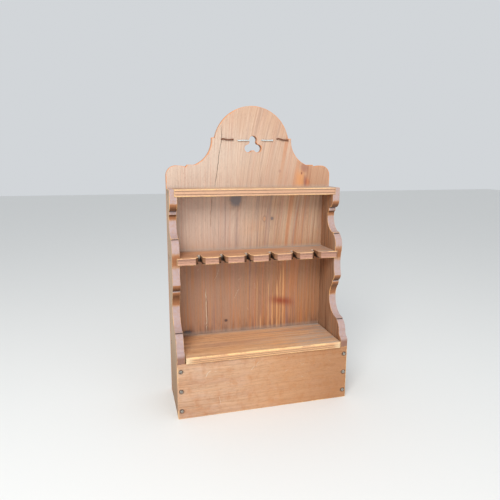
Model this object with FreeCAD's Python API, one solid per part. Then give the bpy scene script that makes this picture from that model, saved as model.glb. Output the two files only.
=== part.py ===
"""Wall pipe rack: a shaped backboard, two scroll-cut sides, a top shelf, a notched pipe shelf and a lidded box.

Millimetres, +Z up, X to the viewer's right, the front towards -Y and the wall towards +Y.
The origin is the middle of the underside of the whole rack, lid nosing included.
Depths are measured forwards from the wall, heights upwards from the underside.
"""

import FreeCAD, Part
import math
import os

from FreeCAD import Vector

# ---- overall sizes ----
overall_width = 350.0
overall_height = 597.0
box_depth = 130.0
box_height = 112.0
lid_overhang = 3.5

# ---- boards ----
back_thickness = 13.0
side_thickness = 15.0
shelf_thickness = 14.0
lid_thickness = 13.0
box_front_thickness = 13.0
box_bottom_thickness = 12.0
housing_depth = 5.0  # how far a shelf's end goes into a side

# ---- shelves ----
top_shelf_height = 435.0
top_shelf_depth = 67.0
pipe_shelf_height = 306.0
pipe_shelf_depth = 87.0
shelf_arris = 1.0

# ---- pipe notches, cut from the front edge of the pipe shelf ----
notch_width = 8.0
notch_length = 28.0
notch_chamfer = 6.0
notch_pitch = 48.0
notch_shifts = (0.0, -3.0, 0.0, 2.0, 2.0, 0.0)  # hand-set places, off an even pitch

# ---- backboard outline, from the shoulder in to the arch ----
shoulder_height = 479.0
shoulder_radius = 20.0
nick_place = 137.0
nick_height = 476.5
step_place = 134.0
step_height = 480.5
cove_foot_place = 119.5
cove_top_place = 84.0
cove_top_height = 531.0
arch_foot_height = 534.0
arch_half_width = 77.5
crown_shift = 1.5  # the whole crown sits a little to the right

# ---- pierced trefoil: three drilled lobes and the web cut out between them ----
lobe_radius = 8.2
lobe_spacing = 19.5
web_offset = 4.0
trefoil_height = 519.0
trefoil_shift = 3.0

# ---- scrolled front edge of the sides, from the top down ----
block_drop = 27.0
upper_undercut = 15.0
upper_bead = 7.0
upper_quirk_drop = 3.0
upper_quirk_inset = 4.3
upper_bead_inset = 1.5
upper_fillet_rise = 37.0
upper_fillet_depth = 74.0
fillet_drop = 3.0
fillet_ledge = 1.5
upper_bulge_rise = 12.0
upper_bulge_depth = 88.2
hollow_top_drop = 3.0
hollow_top_depth = 86.2
hollow_drop = 20.0
hollow_depth = 83.6
lower_block_drop = 50.0
lower_block_depth = 89.0
lower_undercut_inset = 9.0
lower_undercut_drop = 14.0
lower_bead = 5.0
lower_quirk_drop = 6.0
lower_quirk_inset = 2.7
lower_fillet_rise = 55.0
lower_fillet_depth = 105.0
lower_bulge_rise = 30.0
lower_bulge_inset = 10.7
flare_rise = 21.5
flare_inset = 5.0
shoulder_rise = 15.0

# ---- lid and its pin hinge ----
lid_side_gap = 1.7
lid_back_gap = 2.0
pin_setback = 16.5  # pin axis in front of the backboard
pin_radius = 1.5
pin_clearance = 0.05
pin_reach = 21.0  # how far a pin goes into the lid
pin_hole_spare = 1.0
lid_nosing = 3.0
lid_underside_arris = 1.5
lid_back_round = 3.5
lid_corner_round = 2.0

# ---- nails ----
nail_radius = 1.3
nail_length = 36.0
nail_point = 4.0
nail_head_radius = 3.2
nail_head_height = 1.2
nail_head_proud = 0.5
front_nail_edge_gap = 6.5
front_nail_top_gap = 15.0
front_nail_bottom_gap = 16.5
back_nail_foot_gap = 40.0
back_nail_gap = 48.0  # from the box front's top, and from the pipe shelf's middle, to the nails beside them
back_nail_top_gap = 20.0
shelf_nail_places = (-110.0, 0.0, 110.0)
shelf_end_nail_depths = (27.0, 50.0)
bottom_end_nail_depths = (36.0, 90.0)

# ---- nails bent over sideways on the arch, as hooks ----
hook_radius = 1.4
hook_bend_radius = 2.6
hook_embed = 11.0
hook_stand_off = 0.5
hook_leg = 24.0
hook_head_radius = 1.9
hook_head_height = 1.2
hooks = {  # place, height and droop in degrees
    "hook_nail_outer_left": (-63.0, 531.0, 0.5),
    "hook_nail_inner_left": (-29.5, 529.3, 0.5),
    "hook_nail_inner_right": (20.5, 530.0, 0.0),
    "hook_nail_outer_right": (54.0, 533.5, 6.0),
}

# ---- worked out ----
half_width = overall_width / 2
wall_y = (box_depth + lid_overhang) / 2
inner_half_width = half_width - side_thickness
shelf_half_length = inner_half_width + housing_depth
lid_half_length = inner_half_width - lid_side_gap
pin_depth = back_thickness + pin_setback
pin_height = box_height + lid_thickness / 2
side_inner_depth = box_depth - box_front_thickness


def at(x, depth, height):
    return Vector(x, wall_y - depth, height)


def box(x0, x1, depth0, depth1, z0, z1):
    return Part.makeBox(x1 - x0, depth1 - depth0, z1 - z0, at(x0, depth1, z0))


def arc_tangent(tangent_point, other_point, tangent):
    """An arc between two points whose tangent at the first one is along the unit vector given."""
    chord = other_point - tangent_point
    normal = chord - tangent * chord.dot(tangent)
    normal.normalize()
    radius = chord.Length**2 / (2 * chord.dot(normal))
    centre = tangent_point + normal * radius
    middle = (tangent_point - centre) + (other_point - centre)
    middle.normalize()
    return Part.Arc(tangent_point, centre + middle * radius, other_point).toShape()


def steep_arc(upright_point, other_point):
    return arc_tangent(upright_point, other_point, Vector(0, 0, 1))


def level_arc(level_point, other_point, along):
    return arc_tangent(level_point, other_point, along)


def line(a, b):
    return Part.LineSegment(a, b).toShape()


def polygon_edges(points):
    return [line(a, b) for a, b in zip(points, points[1:])]


def prism(edges, direction):
    return Part.Face(Part.Wire(Part.__sortEdges__(edges))).extrude(direction)


def cylinder(start, direction, radius, length):
    return Part.makeCylinder(radius, length, start, direction)


def cut_all(board, cutters):
    for cutter in cutters:
        board = board.cut(cutter)
    return board


def round_edges(solid, radius, chosen):
    return solid.makeFillet(radius, [edge for edge in solid.Edges if chosen(edge)])


def edge_along(edge, axis, depth=None, height=None, x=None):
    """Whether a straight edge runs along an axis and lies at the depth, height and place given."""
    first = edge.Vertexes[0].Point
    last = edge.Vertexes[-1].Point
    run = last - first
    if run.Length == 0 or abs(abs(run.dot(axis)) - run.Length) > 1e-6:
        return False
    middle = (first + last) * 0.5
    wanted = ((wall_y - middle.y, depth), (middle.z, height), (abs(middle.x), x))
    return all(value is None or abs(found - value) < 1e-4 for found, value in wanted)


# ---- nails ----
def nail(start, direction, length, radius=nail_radius, proud=0.0):
    """A nail whose head's outer face stands proud of the start point, against the direction of driving."""
    head_start = start - direction * proud
    head = cylinder(head_start, direction, nail_head_radius, nail_head_height)
    shank = cylinder(head_start, direction, radius, length - nail_point)
    point_start = head_start + direction * (length - nail_point)
    point = Part.makeCone(radius, radius / 4, nail_point, point_start, direction)
    return head.fuse([shank, point]).removeSplitter()


def front_nails(side):
    """Three nails through the box front into the front edge of one side."""
    x = side * (half_width - front_nail_edge_gap)
    top = box_height - front_nail_top_gap
    heights = (front_nail_bottom_gap, (front_nail_bottom_gap + top) / 2, top)
    return [nail(at(x, box_depth, z), Vector(0, 1, 0), nail_length, proud=nail_head_proud) for z in heights]


def side_nail_heights():
    """Heights of the nails from behind into the sides, which keep clear of the shelves' own nails."""
    pipe_shelf_middle = pipe_shelf_height - shelf_thickness / 2
    return (
        back_nail_foot_gap,
        box_height + back_nail_gap,
        pipe_shelf_middle - back_nail_gap,
        pipe_shelf_middle + back_nail_gap,
        top_shelf_height - back_nail_top_gap,
    )


def back_nails(places):
    """Nails through the backboard from behind, their heads flush."""
    return [nail(at(x, 0, z), Vector(0, -1, 0), nail_length) for x, z in places]


def end_nails(side, depths, height):
    """Nails through one side into the end of a board, their heads flush."""
    into = Vector(-side, 0, 0)
    return [nail(at(side * half_width, depth, height), into, nail_length) for depth in depths]


def hinge_pin(side):
    length = side_thickness + lid_side_gap + pin_reach
    return nail(at(side * half_width, pin_depth, pin_height), Vector(-side, 0, 0), length, pin_radius)


def hook_nail(place, height, droop):
    """A nail driven into the arch and bent over: its leg lies sideways just off the face, its head at the end."""
    axis_depth = back_thickness + hook_stand_off + hook_radius
    bottom_depth = back_thickness - hook_embed
    bend_depth = axis_depth - hook_bend_radius
    shank_end = at(place, bend_depth, height)
    bend_centre = at(place + hook_bend_radius, bend_depth, height)
    turn = math.radians(135)
    bend_middle = bend_centre + Vector(math.cos(turn), -math.sin(turn), 0) * hook_bend_radius
    leg_start = at(place + hook_bend_radius, axis_depth, height)
    leg_end = at(place + hook_leg, axis_depth, height)
    path = Part.Wire(
        [
            line(at(place, bottom_depth, height), shank_end),
            Part.Arc(shank_end, bend_middle, leg_start).toShape(),
            line(leg_start, leg_end),
        ]
    )
    ring = Part.Wire(Part.makeCircle(hook_radius, at(place, bottom_depth, height), Vector(0, -1, 0)))
    wire = path.makePipeShell([ring], True, True)
    head = cylinder(leg_end, Vector(1, 0, 0), hook_head_radius, hook_head_height)
    whole = wire.fuse(head).removeSplitter()
    return whole.rotate(at(place, 0, height), Vector(0, 1, 0), droop)


# ---- boards ----
def trefoil():
    """The cutter for the pierced trefoil: three round lobes and a triangle that takes out the web."""
    lobe_reach = lobe_spacing / math.sqrt(3)
    web_reach = lobe_reach + 2 * web_offset
    centre = at(trefoil_shift, back_thickness, trefoil_height)
    through = Vector(0, back_thickness, 0)
    angles = [math.radians(degrees) for degrees in (90, 210, 330)]
    directions = [Vector(math.cos(angle), 0, math.sin(angle)) for angle in angles]
    corners = [centre + direction * web_reach for direction in directions]
    lobes = [
        cylinder(centre + direction * lobe_reach, Vector(0, 1, 0), lobe_radius, back_thickness)
        for direction in directions
    ]
    return prism(polygon_edges(corners + corners[:1]), through).fuse(lobes)


def half_outline(side):
    """One half of the backboard's outline, from the middle of its foot to the foot of the arch."""

    def spot(x, height):
        return at(crown_shift + side * x, back_thickness, height)

    def edge_spot(inset, height):
        return at(side * (half_width - inset), back_thickness, height)

    corner_low = edge_spot(0, shoulder_height - shoulder_radius)
    corner_high = edge_spot(shoulder_radius, shoulder_height)
    edges = polygon_edges([at(0, back_thickness, 0), edge_spot(0, 0), corner_low])
    edges.append(level_arc(corner_high, corner_low, Vector(1, 0, 0)))
    edges.append(level_arc(corner_high, spot(nick_place, nick_height), Vector(1, 0, 0)))
    edges += polygon_edges(
        [spot(nick_place, nick_height), spot(step_place, step_height), spot(cove_foot_place, step_height)]
    )
    edges.append(steep_arc(spot(cove_top_place, cove_top_height), spot(cove_foot_place, step_height)))
    edges += polygon_edges(
        [
            spot(cove_top_place, cove_top_height),
            spot(cove_top_place, arch_foot_height),
            spot(arch_half_width, arch_foot_height),
        ]
    )
    return edges


def backboard():
    arch = Part.Arc(
        at(crown_shift - arch_half_width, back_thickness, arch_foot_height),
        at(crown_shift, back_thickness, overall_height),
        at(crown_shift + arch_half_width, back_thickness, arch_foot_height),
    ).toShape()
    outline = half_outline(-1) + half_outline(1) + [arch]
    return prism(outline, Vector(0, back_thickness, 0)).cut(trefoil())


def scroll_edges(x):
    """The front edge of a side from the top shelf down to the top of the box front."""
    forward = Vector(0, 1, 0)

    def spot(depth, height):
        return at(x, depth, height)

    z = top_shelf_height
    top = spot(top_shelf_depth, z)
    z -= block_drop
    block = spot(top_shelf_depth, z)
    z -= upper_undercut
    undercut = spot(top_shelf_depth - upper_undercut, z)
    bead_depth = top_shelf_depth - upper_undercut - upper_bead_inset
    bead_top = spot(bead_depth, z)
    z -= upper_bead
    bead_foot = spot(bead_depth, z)
    cove_top = spot(bead_depth - upper_quirk_inset, z - upper_quirk_drop)
    z = pipe_shelf_height + upper_fillet_rise
    cove_foot = spot(upper_fillet_depth, z)
    fillet_foot = spot(upper_fillet_depth, z - fillet_drop)
    ledge = spot(upper_fillet_depth + fillet_ledge, z - fillet_drop)
    bulge = spot(upper_bulge_depth, pipe_shelf_height + upper_bulge_rise)
    hollow_top = spot(hollow_top_depth, pipe_shelf_height - hollow_top_drop)
    hollow = spot(hollow_depth, pipe_shelf_height - hollow_drop)
    z = pipe_shelf_height - lower_block_drop
    lower_block = spot(lower_block_depth, z)
    edges = [
        line(top, block),
        steep_arc(block, undercut),
        line(undercut, bead_top),
        line(bead_top, bead_foot),
        line(bead_foot, cove_top),
        level_arc(cove_foot, cove_top, forward),
        line(cove_foot, fillet_foot),
        line(fillet_foot, ledge),
        steep_arc(bulge, ledge),
        steep_arc(bulge, hollow_top),
        Part.Arc(hollow_top, hollow, lower_block).toShape(),
    ]
    z -= lower_undercut_drop
    lower_bead_depth = lower_block_depth - lower_undercut_inset
    lower_bead_top = spot(lower_bead_depth, z)
    z -= lower_bead
    lower_bead_foot = spot(lower_bead_depth, z)
    lower_cove_top = spot(lower_bead_depth - lower_quirk_inset, z - lower_quirk_drop)
    z = box_height + lower_fillet_rise
    lower_cove_foot = spot(lower_fillet_depth, z)
    lower_fillet_foot = spot(lower_fillet_depth, z - fillet_drop)
    lower_ledge = spot(lower_fillet_depth + fillet_ledge, z - fillet_drop)
    lower_bulge = spot(box_depth - lower_bulge_inset, box_height + lower_bulge_rise)
    flare = spot(box_depth - flare_inset, box_height + flare_rise)
    shoulder = spot(box_depth, box_height + shoulder_rise)
    edges += [
        steep_arc(lower_block, lower_bead_top),
        line(lower_bead_top, lower_bead_foot),
        line(lower_bead_foot, lower_cove_top),
        level_arc(lower_cove_foot, lower_cove_top, forward),
        line(lower_cove_foot, lower_fillet_foot),
        line(lower_fillet_foot, lower_ledge),
        steep_arc(lower_bulge, lower_ledge),
        steep_arc(lower_bulge, flare),
        steep_arc(shoulder, flare),
        line(shoulder, spot(box_depth, box_height)),
    ]
    return edges


def side_board(side):
    """A scrolled side, notched for the box front, rebated for the top shelf and housed for the pipe shelf."""
    x = side * half_width
    rest = [
        at(x, box_depth, box_height),
        at(x, side_inner_depth, box_height),
        at(x, side_inner_depth, 0),
        at(x, back_thickness, 0),
        at(x, back_thickness, top_shelf_height),
        at(x, top_shelf_depth, top_shelf_height),
    ]
    board = prism(scroll_edges(x) + polygon_edges(rest), Vector(-side * side_thickness, 0, 0))
    return cut_all(board, [shelf_blank(top_shelf_height, box_depth), shelf_blank(pipe_shelf_height, box_depth)])


def shelf_blank(height, depth):
    z0 = height - shelf_thickness
    return box(-shelf_half_length, shelf_half_length, back_thickness, depth, z0, height)


def top_shelf():
    blank = shelf_blank(top_shelf_height, top_shelf_depth)
    return round_edges(
        blank, shelf_arris, lambda edge: edge_along(edge, Vector(1, 0, 0), depth=top_shelf_depth)
    )


def notch(centre):
    """The cutter for one pipe notch: a round-ended slot with a chamfered mouth."""
    z0 = pipe_shelf_height - shelf_thickness
    half = notch_width / 2
    round_depth = pipe_shelf_depth - notch_length + half
    mouth_depth = pipe_shelf_depth - notch_chamfer
    slot = box(centre - half, centre + half, round_depth, pipe_shelf_depth, z0, pipe_shelf_height)
    end = cylinder(at(centre, round_depth, z0), Vector(0, 0, 1), half, shelf_thickness)
    corners = [
        at(centre - half, mouth_depth, z0),
        at(centre - half - notch_chamfer, pipe_shelf_depth, z0),
        at(centre + half + notch_chamfer, pipe_shelf_depth, z0),
        at(centre + half, mouth_depth, z0),
    ]
    mouth = prism(polygon_edges(corners + corners[:1]), Vector(0, 0, shelf_thickness))
    return slot.fuse([end, mouth])


def notch_centres():
    middle = (len(notch_shifts) - 1) / 2
    return [notch_pitch * (i - middle) + shift for i, shift in enumerate(notch_shifts)]


def pipe_shelf():
    blank = shelf_blank(pipe_shelf_height, pipe_shelf_depth)
    return cut_all(blank, [notch(centre) for centre in notch_centres()])


def box_front():
    return box(-half_width, half_width, side_inner_depth, box_depth, 0, box_height)


def box_bottom():
    return box(-inner_half_width, inner_half_width, back_thickness, side_inner_depth, 0, box_bottom_thickness)


def lid():
    """The lid: rounded nosing and corners in front, a rounded back edge, and a blind hole for a pin in each end."""
    front = box_depth + lid_overhang
    back = back_thickness + lid_back_gap
    top = box_height + lid_thickness
    along = Vector(1, 0, 0)
    board = box(-lid_half_length, lid_half_length, back, front, box_height, top)
    board = round_edges(board, lid_corner_round, lambda e: edge_along(e, Vector(0, 0, 1), depth=front))
    board = round_edges(board, lid_nosing, lambda e: edge_along(e, along, depth=front, height=top))
    board = round_edges(board, lid_underside_arris, lambda e: edge_along(e, along, depth=front, height=box_height))
    board = round_edges(board, lid_back_round, lambda e: edge_along(e, along, depth=back))
    hole_radius = pin_radius + pin_clearance
    holes = [
        cylinder(
            at(side * lid_half_length, pin_depth, pin_height),
            Vector(-side, 0, 0),
            hole_radius,
            pin_reach + pin_hole_spare,
        )
        for side in (-1, 1)
    ]
    return cut_all(board, holes)


# ---- the rack ----
fasteners = {"box_bottom_nails_back": back_nails([(x, box_bottom_thickness / 2) for x in shelf_nail_places])}
top_shelf_middle = top_shelf_height - shelf_thickness / 2
pipe_shelf_middle = pipe_shelf_height - shelf_thickness / 2
fasteners["top_shelf_nails_back"] = back_nails([(x, top_shelf_middle) for x in shelf_nail_places])
fasteners["pipe_shelf_nails_back"] = back_nails([(x, pipe_shelf_middle) for x in shelf_nail_places])
for hand, side in (("left", -1), ("right", 1)):
    edge_place = side * (half_width - side_thickness / 2)
    fasteners["backboard_nails_" + hand] = back_nails([(edge_place, z) for z in side_nail_heights()])
    fasteners["box_front_nails_" + hand] = front_nails(side)
    fasteners["top_shelf_nails_" + hand] = end_nails(side, shelf_end_nail_depths, top_shelf_middle)
    fasteners["pipe_shelf_nails_" + hand] = end_nails(side, shelf_end_nail_depths, pipe_shelf_middle)
    fasteners["box_bottom_nails_" + hand] = end_nails(side, bottom_end_nail_depths, box_bottom_thickness / 2)
    fasteners["hinge_pin_" + hand] = [hinge_pin(side)]
for name, setting in hooks.items():
    fasteners[name] = [hook_nail(*setting)]

boards = {
    "backboard": backboard(),
    "left_side": side_board(-1),
    "right_side": side_board(1),
    "top_shelf": top_shelf(),
    "pipe_shelf": pipe_shelf(),
    "box_front": box_front(),
    "box_bottom": box_bottom(),
}
for name, board in boards.items():
    boards[name] = cut_all(board, [driven for group in fasteners.values() for driven in group])
boards["lid"] = lid()

os.makedirs("parts", exist_ok=True)
for name, board in boards.items():
    board.exportStep("parts/" + name + ".step")
for name, group in fasteners.items():
    whole = group[0] if len(group) == 1 else Part.makeCompound(group)
    whole.exportStep("parts/" + name + ".step")
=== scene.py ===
"""Looks of the wall pipe rack: worn pine boards, hand-made nails and bent wire hooks.

Lengths are millimetres in the frame's own axes until a mesh is made. Every board has its own axes: u across
the grain, v along it and w out of its good face.
"""

import math
import random

import bmesh
import bpy
import numpy as np
from mathutils import Matrix, Vector, noise
from mathutils.geometry import delaunay_2d_cdt


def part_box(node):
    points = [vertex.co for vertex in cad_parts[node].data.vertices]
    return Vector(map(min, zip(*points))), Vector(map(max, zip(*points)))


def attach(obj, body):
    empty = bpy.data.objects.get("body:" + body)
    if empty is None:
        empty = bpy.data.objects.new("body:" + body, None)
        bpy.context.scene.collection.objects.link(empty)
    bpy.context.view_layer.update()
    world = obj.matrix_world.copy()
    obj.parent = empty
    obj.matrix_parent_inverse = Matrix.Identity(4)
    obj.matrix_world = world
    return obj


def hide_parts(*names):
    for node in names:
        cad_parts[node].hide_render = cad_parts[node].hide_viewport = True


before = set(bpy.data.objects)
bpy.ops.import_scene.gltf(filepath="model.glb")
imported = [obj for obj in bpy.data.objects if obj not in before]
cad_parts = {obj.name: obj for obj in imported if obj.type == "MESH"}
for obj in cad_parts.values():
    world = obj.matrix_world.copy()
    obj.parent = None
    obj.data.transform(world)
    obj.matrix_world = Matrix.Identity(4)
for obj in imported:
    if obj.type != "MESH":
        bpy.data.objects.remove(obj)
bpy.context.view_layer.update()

MM = 0.001
RIGHT = Vector((1, 0, 0))
LEFT = Vector((-1, 0, 0))
FRONT = Vector((0, -1, 0))
REAR = Vector((0, 1, 0))
UP = Vector((0, 0, 1))
DOWN = Vector((0, 0, -1))

# ---- mesh fineness ----
RIM_STEP = 2.4  # between points along an outline
CORNER_TURN = math.radians(25)  # a sharper turn is a real corner, and isn't smoothed
LONG_SEGMENT = 8.0  # a longer run between outline points is straight
ARRIS_STEPS = 4
WALL_STEP = 3.0

RING_POINTS = 20

# ---- wear of the boards ----
ARRIS_RADIUS = 0.85
SHAPED_RADIUS = 1.5  # arrises from this radius up are made round, so wear leaves them even
SUPPORT = 0.8  # from an arris to the row of points that holds the face's rim
RECESS_DEPTH = 0.7
RECESS_GAP = 0.3
GROOVE = ((-0.08, 0.0), (-0.04, 0.14), (0.04, 0.14), (0.08, 0.0))  # rows beside a groove: share off, depth
GROOVE_CLEAR = 0.12  # no plain row is nearer a groove than this share

# ---- the shelves' housings in the sides ----
PLAY = 0.15
OPEN_FRONT = 60.0
OPEN_TOP = 20.0

# ---- nails and hooks ----
HEAD_THICKNESS = 1.2
BOX_NAIL_DOME = 0.35
NAIL_DOME = 0.1
HOOK_THICKNESS = 3.8  # the CAD hook's
HOOK_REACH = 7.6  # from the middle of a hook's leg back to the stem's end inside the board
WIRE_RADIUS = 1.35
WIRE_SIDES = 16


# ======== Boards ========
class Board:
    """A CAD board seen in its own axes, with the outlines of its good face."""

    def __init__(self, node, across, along, out):
        self.node = node
        self.axes = (across, along, out)
        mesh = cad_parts[node].data
        mesh.calc_loop_triangles()
        self.points = [self.local(v.co / MM) for v in mesh.vertices]
        self.triangles = [tuple(t.vertices) for t in mesh.loop_triangles]
        self.low = Vector(min(p[i] for p in self.points) for i in range(3))
        self.high = Vector(max(p[i] for p in self.points) for i in range(3))

    def local(self, p):
        return Vector(p.dot(axis) for axis in self.axes)

    def outlines(self, smallest=10.0):
        """Closed outlines of the good face that are wider than smallest, the outer one first."""
        edges = set()
        for triangle in self.triangles:
            corners = [self.points[i] for i in triangle]
            if all(abs(p.z - self.high.z) < 0.01 for p in corners):
                keys = [(round(p.x, 3), round(p.y, 3)) for p in corners]
                for a, b in zip(keys, keys[1:] + keys[:1]):
                    if (b, a) in edges:
                        edges.remove((b, a))
                    else:
                        edges.add((a, b))
        onward = dict(sorted(edges))
        found = []
        while onward:
            spot = next(iter(onward))
            loop = []
            while spot in onward:
                loop.append(Vector(spot))
                spot = onward.pop(spot)
            found.append(loop)
        found = [loop for loop in found if spread(loop) > smallest]
        return sorted(found, key=spread, reverse=True)

    def rectangle(self):
        (u0, v0, _), (u1, v1, _) = self.low, self.high
        return [Vector(p) for p in ((u0, v0), (u1, v0), (u1, v1), (u0, v1))]


def spread(loop):
    return max(p.x for p in loop) - min(p.x for p in loop)


def turn(a, b):
    return a.angle_signed(b, 0.0)


def reflected(direction, chord):
    """The direction at the other end of a round arc over this chord."""
    return 2 * chord.dot(direction) * chord - direction


def resampled(loop, step):
    """The outline with points about step apart: corners are kept and arcs stay round."""
    count = len(loop)
    runs = [loop[(i + 1) % count] - loop[i] for i in range(count)]
    directions = [run.normalized() for run in runs]
    tangents = []
    for i in range(count):
        before, after = runs[i - 1], runs[i]
        if abs(turn(before, after)) > CORNER_TURN:
            tangents.append(None)
        elif max(before.length, after.length) > LONG_SEGMENT:
            tangents.append(directions[i - 1] if before.length > after.length else directions[i])
        else:
            tangents.append((directions[i - 1] + directions[i]).normalized())
    points = []
    for i in range(count):
        start, end, chord = loop[i], loop[(i + 1) % count], directions[i]
        first, last = tangents[i], tangents[(i + 1) % count]
        if first is None and last is None or runs[i].length > LONG_SEGMENT:
            first = last = chord
        first = first or reflected(last, chord)
        last = last or reflected(first, chord)
        pieces = max(1, round(runs[i].length / step))
        for k in range(pieces):
            t = k / pieces
            points.append(hermite(start, end, first * runs[i].length, last * runs[i].length, t))
    return points


def hermite(a, b, leaving, arriving, t):
    return (
        a * (2 * t**3 - 3 * t**2 + 1)
        + leaving * (t**3 - 2 * t**2 + t)
        + b * (3 * t**2 - 2 * t**3)
        + arriving * (t**3 - t**2)
    )


def inward_directions(loop):
    """For each outline point, the step into the wood that moves both neighbouring edges in by one."""
    count = len(loop)
    found = []
    for i in range(count):
        before = (loop[i] - loop[i - 1]).normalized()
        after = (loop[(i + 1) % count] - loop[i]).normalized()
        inward = Vector((-before.y - after.y, before.x + after.x))
        inward.normalize()
        found.append(inward / max(0.6, inward.dot(Vector((-after.y, after.x)))))
    return found


def inside(points, loops):
    """Whether each (u, v) row lies inside the outer loop and outside its holes."""
    x, y = points[:, 0], points[:, 1]
    odd = np.zeros(len(points), bool)
    for loop in loops:
        for a, b in zip(loop, loop[1:] + loop[:1]):
            if a[1] != b[1]:
                crosses = (a[1] > y) != (b[1] > y)
                odd ^= crosses & (x < (b[0] - a[0]) * (y - a[1]) / (b[1] - a[1]) + a[0])
    return odd


def wave(u, v, across, along, seed):
    """Smooth noise from about -1 to 1, with the given sizes across and along the grain."""
    return noise.noise(Vector((u / across, v / along, seed)))


def planed(p, seed):
    """Height of a hand-planed and weathered face: slow waves, plane tracks and raised grain."""
    u, v = p
    slow = 0.13 * wave(u, v, 38, 150, seed)
    tracks = 0.07 * wave(u, v, 13, 300, seed + 7)
    grain = 0.045 * wave(u + 2 * wave(u, v, 30, 120, seed), v, 3.1, 110, seed + 13)
    fine = 0.03 * wave(u, v, 1.5, 70, seed + 21)
    return slow + tracks + grain + fine


class Shell:
    """Gathers a piece's points with their paint marks, and its faces."""

    MARKS = ("wear", "line", "stain", "rim", "dirt")

    def __init__(self, axes):
        self.axes = axes
        self.points = []
        self.faces = []
        self.paint = {mark: [] for mark in self.MARKS}

    def add(self, p, w, **marks):
        across, along, out = self.axes
        self.points.append((across * p.x + along * p.y + out * w) * MM)
        for mark in self.MARKS:
            self.paint[mark].append(marks.get(mark, 0.0))
        return len(self.points) - 1

    def join(self, upper, lower):
        """Quads between two closed rows of points."""
        count = len(upper)
        for i in range(count):
            j = (i + 1) % count
            self.faces.append((upper[i], lower[i], lower[j], upper[j]))

    def make(self, name):
        mesh = bpy.data.meshes.new(name)
        mesh.from_pydata(self.points, [], self.faces)
        for mark, values in self.paint.items():
            mesh.attributes.new(mark, "FLOAT", "POINT").data.foreach_set("value", values)
        face_outward(mesh)
        mesh.shade_smooth()
        return link(name, mesh)


def face_outward(mesh):
    shape = bmesh.new()
    shape.from_mesh(mesh)
    bmesh.ops.recalc_face_normals(shape, faces=shape.faces)
    shape.to_mesh(mesh)
    shape.free()


def link(name, mesh):
    made = bpy.data.objects.new(name, mesh)
    bpy.context.scene.collection.objects.link(made)
    return made


class Line:
    """A crack (tone above 0) or a pale scratch (tone below 0) along a wandering path on a face."""

    def __init__(self, ends, half_width, depth, tone, wander, seed):
        self.half_width = half_width
        self.depth = depth
        self.tone = tone
        self.path = []
        for a, b in zip(ends, ends[1:]):
            a, b = Vector(a), Vector(b)
            pieces = max(2, round((b - a).length / 2.5))
            self.path += [a.lerp(b, k / pieces) for k in range(pieces)]
        self.path.append(Vector(ends[-1]))
        last = len(self.path) - 1
        for i in range(1, last):
            along = (self.path[i + 1] - self.path[i - 1]).normalized()
            sideways = Vector((-along.y, along.x))
            shake = wander * wave(i, seed, 4, 1, 5.5) + 0.6 * wander * wave(i, seed, 1.7, 1, 9.5)
            self.path[i] = self.path[i] + sideways * shake

    def share(self, i):
        """How wide and deep the line is at a point of its path, from 0 at both tips to 1."""
        last = len(self.path) - 1
        taper = min(1.0, 6 * min(i, last - i) / last)
        return taper * (0.75 + 0.35 * wave(i, self.depth, 3.0, 1.0, 2.5))


class NailSpot:
    """Where a nail's head meets a face: a shallow recess, and a dark stain round it."""

    def __init__(self, spot, radius, seed):
        self.spot = spot
        self.radius = radius
        self.seed = seed

    def ring(self, reach):
        points = []
        for i in range(RING_POINTS):
            angle = math.tau * i / RING_POINTS
            wobble = 1 + 0.07 * wave(math.cos(angle), math.sin(angle), 0.7, 0.7, self.seed + reach)
            direction = Vector((math.cos(angle), math.sin(angle)))
            points.append(self.spot + direction * self.radius * reach * wobble)
        return points


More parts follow.
